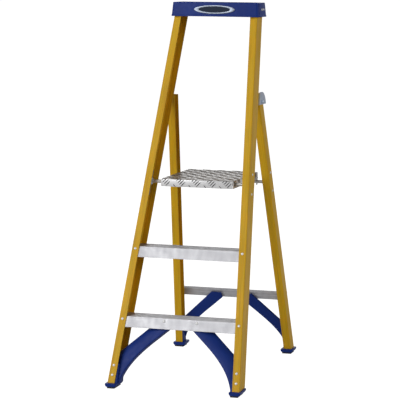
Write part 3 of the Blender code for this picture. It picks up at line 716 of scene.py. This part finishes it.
def make_cap():
    """The moulded cap: a drafted shell with a rolled rim, a shallow tray and ribs underneath."""
    low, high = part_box("top_cap")
    half_x, half_y = (high.x - low.x) / 2, (high.y - low.y) / 2
    tall = high.z - low.z
    slope = CAP_DRAFT / tall
    radius, edge, wall = CAP_CORNER_R, CAP_EDGE_R, CAP_WALL

    def shell(inset, z, r):
        return rounded_ring(half_x - inset - slope * z, half_y - inset - slope * z, max(r, 0.001), z)

    def tray(inset, z, r):
        inset += CAP_DRAFT
        return rounded_ring(half_x - CAP_LAND_X - inset, half_y - CAP_LAND_Y - inset, r, z)

    rings = [
        shell(wall, tall - 0.0085, radius - wall), shell(wall, 0.0012, radius - wall),
        shell(wall - 0.0010, 0, radius - 0.002), shell(0.0010, 0, radius - 0.001),
        shell(0.0002, 0.0004, radius), shell(0, 0.0014, radius),
        shell(0, 0.0060, radius), shell(CAP_STEP, 0.0068, radius)]
    for step in range(7):
        angle = math.pi / 2 * step / 6
        inset = CAP_STEP + edge * (1 - math.cos(angle))
        rings.append(shell(inset, tall - edge + edge * math.sin(angle), radius - inset))
    for step in range(4):
        angle = math.pi / 2 * step / 3
        rings.append(tray(CAP_LAND_R * math.sin(angle), tall - CAP_LAND_R * (1 - math.cos(angle)), 0.008))
    floor = tall - CAP_TRAY
    for inset, depth in ((0, 0.0012), (0.0006, 0.0003), (0.0018, 0)):
        rings.append(tray(CAP_FILLET + inset, floor + depth, 0.0075))
    work = bmesh.new()
    loft(work, rings)
    rib_low, rib_top = tall - 0.0240, tall - 0.0080
    reach_y = half_y - wall - slope * rib_low + 0.0004
    for x in CAP_RIBS:
        rings = [
            rounded_ring(CAP_RIB_HALF, reach_y - slope * (z - rib_low), 0.0004, z, 1)
            for z in (rib_low, rib_top)]
        loft(work, [[(px + x, py, pz) for px, py, pz in ring] for ring in rings])
    place = Matrix.Translation(((low.x + high.x) / 2, (low.y + high.y) / 2, low.z))
    put("top_cap_moulding", "top_cap", work, place, "blue_plastic")


BADGE_FACE = 0.0012
BADGE_RIM_WIDE, BADGE_RIM_TALL = 0.0180, 0.0046
BADGE_STEPS = 56


def make_badge():
    """A plain oval badge: a raised rim round a sunken field, with no lettering."""
    low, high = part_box("cap_badge")
    cap_low, cap_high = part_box("top_cap")
    slope = math.atan2(CAP_DRAFT, cap_high.z - cap_low.z)
    wide = (high.x - low.x) / 2
    tall = (high.z - low.z) / 2 / math.cos(slope)
    place = Matrix.Translation((low + high) / 2) @ Matrix.Rotation(math.pi / 2 - slope, 4, "X")
    face = BADGE_FACE
    field_wide, field_tall = wide - BADGE_RIM_WIDE, tall - BADGE_RIM_TALL
    work = bmesh.new()
    loft(work, [ellipse(*ring, BADGE_STEPS) for ring in (
        (wide, tall, -0.0006),
        (wide, tall, face - 0.0007),
        (wide - 0.0003, tall - 0.0003, face),
        (wide - 0.0012, tall - 0.0010, face + 0.0003),
        (field_wide + 0.0010, field_tall + 0.0010, face + 0.0003),
        (field_wide + 0.0003, field_tall + 0.0003, face),
        (field_wide, field_tall, face - 0.0006),
        (field_wide - 0.0006, field_tall - 0.0005, face - 0.0006),
        (field_wide * 0.55, field_tall * 0.5, face - 0.0003))])
    badge = put("cap_badge_plate", "cap_badge", work, place, "badge", 50)
    badge.data.materials.append(PAINTS["badge_field"])
    for side in badge.data.polygons:
        x, y, _ = side.center
        if side.normal.z > 0.5 and (x / field_wide) ** 2 + (y / field_tall) ** 2 < 1:
            side.material_index = 1


# ---- feet and pads

BRACE_STEPS = 28
RIB_EVERY = 5
RIB_HALF = 0.0011
BLOCK_DRAFT = 0.004
BLOCK_HEEL = 0.009
STILE_SEAT = 0.0003  # between a stile's end and the block that it stands on

# arch: a brace's lower edge, as a Bezier curve. edge: its upper edge, from its tip by a corner that is
# `bend` of the way down. faces: its front face, as (share of the way to the upper edge, depth).
# back and wall: its return walls' depth and thickness. plug and plug_top: what fills the stile's end.
# wide and long: the block.
Foot = namedtuple("Foot", "plane arch edge bend faces back wall plug plug_top wide long")
FEET = {
    "front": Foot(
        plane=FRONT,
        arch=((0.0260, 0.2405), (0.0855, 0.180), (0.1795, 0.1195), (0.2015, 0.0217)),
        edge=((0.102, 0.2405), (0.2265, 0.1245), (0.2325, 0.0330)), bend=0.72,
        faces=(
            (0, 0.0134), (0.2, 0.0136), (0.4, 0.0146), (0.6, 0.0170), (0.75, 0.0200), (0.88, 0.0240),
            (1, 0.0290)),
        back=0.036, wall=0.0030,
        plug=(0.2045, 0.0042, 0.2298, 0.0723), plug_top=0.0885, wide=0.0405, long=0.086),
    "rear": Foot(
        plane=REAR,
        arch=((0.0373, 0.2034), (0.102, 0.142), (0.176, 0.092), (0.1985, 0.0215)),
        edge=((0.0793, 0.2240), (0.2150, 0.0920), (0.2215, 0.0330)), bend=0.78,
        faces=((0, 0.0355), (1, 0.0355)), back=0.0433, wall=0.0026,
        plug=(0.1985, 0.0042, 0.2214, 0.0423), plug_top=0.0735, wide=0.047, long=0.066)}
REAR_TIP = (Vector((0.0417, 0.2245)), Vector((0.0783, 0.2249)))


def brace_rows(foot):
    """Points down a brace in pairs: its arched lower edge, and its straight upper edge."""
    top, corner, end = [Vector(point) for point in foot.edge]
    rows = []
    for step in range(BRACE_STEPS + 1):
        t = step / BRACE_STEPS
        weights = ((1 - t) ** 3, 3 * t * (1 - t) ** 2, 3 * t * t * (1 - t), t ** 3)
        lower = Vector([sum(w * point[k] for w, point in zip(weights, foot.arch)) for k in (0, 1)])
        if t < foot.bend:
            upper = top.lerp(corner, t / foot.bend)
        else:
            upper = corner.lerp(end, (t - foot.bend) / (1 - foot.bend))
        rows.append((lower, upper))
    return rows


def brace_shell(work, rows, side, foot):
    """A brace moulded as a trough: a front face with a return wall along each edge."""
    faces, back, wall = foot.faces, foot.back, foot.wall
    first, last = faces[0][1], faces[-1][1]
    rings = []
    for lower, upper in rows:
        wide = (upper - lower).length
        run = (upper - lower) / wide
        outside = [(share * wide, depth, 0) for share, depth in faces[1:-1]]
        inside = [(share * wide, depth + wall, 0) for share, depth in reversed(faces[1:-1])]
        section = [
            (0, back, 0.0008), (0, first, 0.0030), *outside, (wide, last, 0.0030), (wide, back, 0.0008),
            (wide - wall, back, 0.0008), (wide - wall, last + wall, 0.0010), *inside,
            (wall, first + wall, 0.0010), (wall, back, 0.0008)]
        ring = []
        for along, depth in rounded(section, 4):
            point = lower + run * along
            ring.append((side * point.x, depth, point.y))
        rings.append(ring)
    loft(work, rings)


def brace_ribs(work, rows, side, foot):
    """Stiffening ribs across the back of a brace."""
    for index in range(RIB_EVERY, len(rows) - 2, RIB_EVERY):
        lower, upper = rows[index]
        ahead = (rows[index + 1][0] - lower).normalized() * RIB_HALF
        run = (upper - lower).normalized()
        sunk = 0.6 * foot.wall
        start, end = lower + run * sunk, upper - run * sunk
        ring = [(start.lerp(end, share), depth + sunk) for share, depth in foot.faces]
        ring += [(end, foot.back - 0.001), (start, foot.back - 0.001)]
        loft(work, [
            [(side * (point + ahead * way).x, depth, (point + ahead * way).y) for point, depth in ring]
            for way in (-1, 1)])


def sole_block(work, foot, side, outer, near, base, rim):
    """The foot's block, drawn level: drafted in below, with a small rolled rim on top."""
    to_local = foot.plane.inverted()
    inner, far, draft, heel = outer - foot.wide, near + foot.long, BLOCK_DRAFT, BLOCK_HEEL
    rings = []
    for z, sides, front, back in (
            (base, draft, 0.0006, heel), (base + 0.0008, draft - 0.0010, 0, heel - 0.0015),
            (base + 0.0050, 0.0002, 0, 0.0010), (rim - 0.0030, 0, 0, 0), (rim - 0.0008, 0, 0, 0),
            (rim, 0.0008, 0.0006, 0.0008)):
        outline = rectangle(inner + sides, near + front, outer - sides, far - back, 0.003, 4)
        rings.append([to_local @ Vector((side * x, y, z)) for x, y in outline])
    loft(work, rings)


def add_plug(work, foot, side, floor):
    """The part of a foot that fills the stile's end, cut level at the bottom."""
    outline = mirror_x(rectangle(*foot.plug, 0.003, 4), side)
    level, up = Vector((0, 0, floor)), Vector((0, 0, 1))
    lower = [(x, y, reach(foot.plane, x, y, level, up)) for x, y in outline]
    loft(work, [lower, [(x, y, foot.plug_top) for x, y in outline]])


def make_feet():
    """The four moulded feet with their braces."""
    for kind, foot in FEET.items():
        rows = brace_rows(foot)
        if kind == "rear":
            rows.insert(0, REAR_TIP)
        for word, side in SIDES:
            node = f"{kind}_foot_{word}"
            low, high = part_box(node)
            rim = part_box(f"{kind}_stile_{word}")[0].z - STILE_SEAT
            work = bmesh.new()
            brace_shell(work, rows, side, foot)
            brace_ribs(work, rows, side, foot)
            add_plug(work, foot, side, rim - 0.004)
            outer = high.x if side > 0 else -low.x
            near = low.y if kind == "front" else high.y - foot.long
            sole_block(work, foot, side, outer, near, low.z, rim)
            if kind == "rear":
                add_boss(work, foot.plane, side)
            put(node + "_moulding", node, work, foot.plane, "blue_plastic", 32)


def add_boss(work, plane, side):
    """The round boss that holds a rear brace off the rail."""
    middle = plane.inverted() @ axis_frame("rear_brace_rivet_right").translation
    front = seen_from(plane, "rear_rail")[0].y - 0.0003
    rings = []
    for radius, depth in ((0.0088, 0.0060), (0.0080, 0.0046), (0.0080, 0.0005), (0.0075, 0)):
        rings.append([
            (side * (middle.x + x), front - depth, middle.z + z)
            for x, z, _ in ellipse(radius, radius, 0, 28)])
    loft(work, rings)


PAD_LUGS = 7
PAD_LUG_RINGS = ((0, 0.0004), (0.0004, 0), (0.0024, 0))
PAD_SLAB_RINGS = ((0.0018, 0.0006), (0.0022, 0.0002), (0.0032, 0), (0.0044, 0.0003), (0.005, 0.001))


def make_pads():
    """The rubber pads: lugs underneath and a slab with rounded edges over them."""
    for kind in ("front", "rear"):
        for word, _ in SIDES:
            node = f"{kind}_pad_{word}"
            low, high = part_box(node)
            centre = Vector(((low.x + high.x) / 2, (low.y + high.y) / 2, 0))
            half_x, half_y = (high.x - low.x) / 2, (high.y - low.y) / 2
            work = bmesh.new()
            pitch = 2 * half_y / PAD_LUGS
            for lug in range(PAD_LUGS):
                y = -half_y + (lug + 0.5) * pitch
                rings = [
                    rounded_ring(half_x - inset, pitch / 2 - 0.0012 - inset, 0.0008, z, 2)
                    for z, inset in PAD_LUG_RINGS]
                loft(work, [[(px, py + y, pz) for px, py, pz in ring] for ring in rings])
            loft(work, [
                rounded_ring(half_x - inset, half_y - inset, 0.003, z) for z, inset in PAD_SLAB_RINGS])
            put(node + "_rubber", node, work, Matrix.Translation(centre), "rubber_pad")


# ---- turned pieces and plates

def turned(profile, steps=32):
    """A solid turned round local Z from (radius, height) points, closed at both ends."""
    work = bmesh.new()
    loft(work, [ellipse(radius, radius, z, steps) for radius, z in profile])
    return work


def axis_frame(node):
    """A rivet head's frame: the origin at the middle of its base, local Z out through its crown.

    The head is shallow, so its axis is the direction in which its points are least spread.
    """
    points = [vertex.co for vertex in NODES[node].data.vertices]
    middle = sum(points, Vector()) / len(points)
    arms = [point - middle for point in points]
    spread = Matrix([[sum(arm[a] * arm[b] for arm in arms) for b in range(3)] for a in range(3)])
    inverse = (spread + Matrix.Identity(3) * 1e-12).inverted()
    axis = Vector((0.37, 0.61, 0.70))
    for _ in range(40):
        axis = (inverse @ axis).normalized()
    radii = [(arm - axis * arm.dot(axis)).length for arm in arms]
    rim = [point for point, radius in zip(points, radii) if radius > 0.97 * max(radii)]
    base = sum(rim, Vector()) / len(rim)
    if (middle - base).dot(axis) < 0:
        axis = -axis
    return Matrix.Translation(base) @ axis.to_track_quat("Z", "Y").to_matrix().to_4x4()


RIVET_HEAD = (
    (0.0046, -0.0001), (0.0048, 0.0003), (0.0047, 0.0006), (0.0043, 0.0010),
    (0.0036, 0.0015), (0.0028, 0.0019), (0.0020, 0.0021), (0.0016, 0.0021),
    (0.0013, 0.0018), (0.0009, 0.0014), (0.0004, 0.0013))


def make_rivets():
    """Every rivet head, with the dimple that the setting mandrel leaves."""
    for node in sorted(NODES):
        if "rivet" in node:
            put(node + "_head", node, turned(RIVET_HEAD), axis_frame(node), "rivet", 60)


ROD_CHAMFER = 0.0012
ROD_GROOVE = 0.018  # from the rod's end to the middle of its groove
ROD_GROOVE_HALF = 0.0012
ROD_GROOVE_DEEP = 0.0006


def make_rods():
    """The two rods, chamfered, with a shallow groove near each end."""
    along_x = Matrix.Rotation(math.pi / 2, 4, "Y")
    for node in ("front_rod", "rear_rod"):
        low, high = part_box(node)
        half, radius = high.x, (high.z - low.z) / 2
        floor, floor_half = radius - ROD_GROOVE_DEEP, ROD_GROOVE_HALF - ROD_GROOVE_DEEP
        profile = [(radius - ROD_CHAMFER, -half), (radius, -half + ROD_CHAMFER)]
        for way in (-1, 1):
            groove = way * (half - ROD_GROOVE)
            profile += [(radius, groove - ROD_GROOVE_HALF), (floor, groove - floor_half)]
            profile += [(floor, groove + floor_half), (radius, groove + ROD_GROOVE_HALF)]
        profile += [(radius, half - ROD_CHAMFER), (radius - ROD_CHAMFER, half)]
        place = Matrix.Translation((low + high) / 2) @ along_x
        put(node + "_bar", node, turned(profile, 40), place, "rod_steel", 30)


BRACKET_PLATE = 0.004
BRACKET_CORNER_R = 0.006
ROD_GRIP = 0.006  # how far in from the rod's end a bracket's boss is centred


def make_brackets():
    """The pressed plates that hold the rods' ends, each with a drawn boss."""
    for rod, frames in (("front_rod", FRONT_SIDE), ("rear_rod", REAR_SIDE)):
        rod_low, rod_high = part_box(rod)
        axis = (rod_low + rod_high) / 2
        for word, side in SIDES:
            node = f"{rod}_bracket_{word}"
            place = frames[word]
            low, high = seen_from(place, node)
            centre = place.inverted() @ Vector((side * (rod_high.x - ROD_GRIP), axis.y, axis.z))
            web = high.x if side > 0 else -low.x
            top = low.x if side > 0 else -high.x
            face = web - BRACKET_PLATE
            rings = []
            for x, inset in (
                    (web, 0.0006), (web - 0.0006, 0), (face + 0.0010, 0), (face + 0.0003, 0.0003),
                    (face, 0.0010)):
                outline = rectangle(
                    low.y + inset, low.z + inset, high.y - inset, high.z - inset, BRACKET_CORNER_R, 5)
                rings.append([(side * x, y, z) for y, z in outline])
            work = bmesh.new()
            loft(work, rings)
            rings = []
            for radius, x in (
                    (0.0150, face + 0.0002), (0.0138, face - 0.0004), (0.0128, face - 0.0016),
                    (0.0124, top + 0.0012), (0.0116, top + 0.0003), (0.0108, top)):
                rings.append([
                    (side * x, centre.y + y, centre.z + z) for y, z, _ in ellipse(radius, radius, 0, 32)])
            loft(work, rings)
            put(node + "_pressing", node, work, place, "zinc_steel")


def make_bushes():
    """The steel bushes that the platform turns on, each with an outside flange."""
    for word, side in SIDES:
        node = "platform_bush_" + word
        low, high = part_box(node)
        outer = high.x if side > 0 else -low.x
        centre = (low + high) / 2
        turn = Matrix.Rotation(side * math.pi / 2, 4, "Y")
        place = Matrix.Translation((side * outer, centre.y, centre.z)) @ turn
        flange = (high.z - low.z) / 2
        profile = (
            (0.0062, -0.0074), (0.0084, -0.0074), (0.0086, -0.0070), (0.0086, -0.0016), (flange, -0.0013),
            (flange, -0.0004), (flange - 0.0005, 0), (0.0070, 0), (0.0063, -0.0006))
        put(node + "_sleeve", node, turned(profile, 40), place, "rod_steel")


RAIL_WALL = 0.0026
RAIL_LINE = 0.0044
RAIL_GROOVE = 0.0188
RAIL_GROOVE_DEEP = 0.0009


def make_rail():
    """The rear rail's extrusion, with its groove, scored line and flanges."""
    low, high = seen_from(REAR, "rear_rail")
    tall, deep = high.z - low.z, high.y - low.y
    wall, line, groove, sunk = RAIL_WALL, RAIL_LINE, RAIL_GROOVE, RAIL_GROOVE_DEEP
    section = rounded([
        (0, 0, 0.0008), (0, line - 0.0004, 0), (0.0004, line, 0), (0, line + 0.0004, 0),
        (0, groove - 0.0013, 0.0003), (sunk, groove - 0.0007, 0.0003), (sunk, groove + 0.0007, 0.0003),
        (0, groove + 0.0013, 0.0003), (0, tall, 0.0008), (deep, tall, 0.0006), (deep, tall - wall, 0.0006),
        (wall, tall - wall, 0.0012), (wall, wall, 0.0012), (deep, wall, 0.0006), (deep, 0, 0.0006)], 3)
    matrix = REAR @ Matrix.Translation((0, low.y, low.z)) @ ACROSS
    put("rear_rail_extrusion", "rear_rail", prism(section, low.x, high.x), matrix, "dull_aluminium", 30)


def make_stiffeners():
    """The two stiffeners under the platform, each a T section with soft corners."""
    for node in ("platform_stiffener_front", "platform_stiffener_rear"):
        low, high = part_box(node)
        tall, wide = high.z - low.z, high.y - low.y
        sheet, middle = 0.002, wide / 2
        left, right = middle - sheet, middle + sheet
        section = rounded([
            (0, 0, 0.0006), (wide, 0, 0.0006), (wide, -sheet, 0.0006), (right, -sheet, 0.0016),
            (right, -tall, 0.0008), (left, -tall, 0.0008), (left, -sheet, 0.0016), (0, -sheet, 0.0006)], 3)
        matrix = Matrix.Translation((0, low.y, high.z)) @ ACROSS
        put(node + "_fold", node, prism(section, low.x, high.x), matrix, "aluminium", 30)


def make_hinges():
    """The hinge ears and pins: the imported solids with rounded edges."""
    for word, _ in SIDES:
        for kind, width in (("hinge_ear_", 0.0007), ("hinge_pin_", 0.0004)):
            node = NODES[kind + word]
            weld = node.modifiers.new("weld", "WELD")
            weld.merge_threshold = 0.00001
            soften(node, width, 3, 50)


# ---- camera, light and floor

CAMERA_PLACE = (1.897, -6.528, 1.457)
CAMERA_YAW = math.radians(16.432)
CAMERA_PITCH = math.radians(7.018)
CAMERA_ROLL = math.radians(0.489)
CAMERA_LENS = 170.73
CAMERA_SENSOR = 36.0

LIGHT_AIM = Vector((0, 0, 0.6))
FLOOR_BASE = 0.35
FLOOR_LIGHT = 0.10
FLOOR_SEEN = 1.00
GLOSS_SHARE = 0.22
WORLD_LIGHT = 0.14
WORLD_SEEN = 1.30


def make_camera():
    """The camera, at the photograph's viewing angle."""
    yaw, pitch, roll = CAMERA_YAW, CAMERA_PITCH, CAMERA_ROLL
    ahead = Vector((-math.sin(yaw) * math.cos(pitch), math.cos(yaw) * math.cos(pitch), -math.sin(pitch)))
    level = Vector((math.cos(yaw), math.sin(yaw), 0))
    above = level.cross(ahead)
    right = level * math.cos(roll) + above * math.sin(roll)
    upright = above * math.cos(roll) - level * math.sin(roll)
    data = bpy.data.cameras.new("camera")
    data.lens = CAMERA_LENS
    data.sensor_width = CAMERA_SENSOR
    data.clip_end = 200
    camera = bpy.data.objects.new("camera", data)
    SCENE.collection.objects.link(camera)
    turn = Matrix((right, upright, -ahead)).transposed().to_4x4()
    camera.matrix_world = Matrix.Translation(CAMERA_PLACE) @ turn
    SCENE.camera = camera


def area_light(name, place, size, power):
    """A large soft light, aimed at the ladder and itself unseen."""
    data = bpy.data.lights.new(name, "AREA")
    data.shape = "RECTANGLE"
    data.size, data.size_y = size
    data.energy = power
    light = bpy.data.objects.new(name, data)
    SCENE.collection.objects.link(light)
    light.location = place
    light.rotation_euler = (LIGHT_AIM - Vector(place)).to_track_quat("-Z", "Y").to_euler()
    light.visible_camera = False


def seen_strength(tree, unseen, seen):
    """A strength that is one value when seen, another as light, and in between in reflections."""
    path = tree.nodes.new("ShaderNodeLightPath")
    share = tree.nodes.new("ShaderNodeMath")
    share.operation = "MULTIPLY_ADD"
    tree.links.new(path.outputs["Is Glossy Ray"], share.inputs[0])
    share.inputs[1].default_value = GLOSS_SHARE
    tree.links.new(path.outputs["Is Camera Ray"], share.inputs[2])
    strength = tree.nodes.new("ShaderNodeMapRange")
    strength.inputs["To Min"].default_value = unseen
    strength.inputs["To Max"].default_value = seen
    tree.links.new(share.outputs["Value"], strength.inputs["Value"])
    return strength.outputs["Result"]


def make_studio():
    """A plain pale floor and soft light, brightest from the front left."""
    bpy.ops.mesh.primitive_circle_add(vertices=96, radius=90, fill_type="NGON", location=(0, 0, -0.0005))
    floor = bpy.context.active_object
    floor.name = "floor"
    paint = Paint("floor", (FLOOR_BASE, FLOOR_BASE, FLOOR_BASE), 0.9)
    glow = seen_strength(paint.tree, FLOOR_LIGHT, FLOOR_SEEN)
    paint.put(paint.shader, {
        "Emission Color": (1, 1, 1, 1), "Emission Strength": glow, "Specular IOR Level": 0})
    floor.data.materials.append(paint.material)
    world = bpy.data.worlds.new("studio")
    SCENE.world = world
    world.use_nodes = True
    back = world.node_tree.nodes["Background"]
    back.inputs["Color"].default_value = (1, 1, 1, 1)
    glow = seen_strength(world.node_tree, WORLD_LIGHT, WORLD_SEEN)
    world.node_tree.links.new(glow, back.inputs["Strength"])
    area_light("key", (-2.6, -4.2, 2.6), (4.0, 4.0), 140)
    area_light("fill", (4.4, -0.9, 2.0), (2.6, 2.6), 46)
    area_light("back", (-1.8, 6.0, 2.6), (4.5, 2.6), 52)


NODE_PAINTS = (
    ("stile", "fibreglass"), ("rivet", "rivet"), ("foot", "blue_plastic"), ("cap", "blue_plastic"),
    ("pad", "rubber_pad"), ("rod", "zinc_steel"), ("hinge", "zinc_steel"), ("bush", "zinc_steel"))


def paint_nodes():
    """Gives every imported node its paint."""
    for name, node in NODES.items():
        kind = next((paint for word, paint in NODE_PAINTS if word in name), "aluminium")
        node.data.materials.clear()
        node.data.materials.append(PAINTS[kind])


paint_nodes()
make_stiles()
make_treads()
make_platform()
make_cap()
make_badge()
make_feet()
make_pads()
make_rivets()
make_rods()
make_brackets()
make_bushes()
make_rail()
make_stiffeners()
make_hinges()
make_camera()
make_studio()
SCENE.view_settings.view_transform = "Standard"
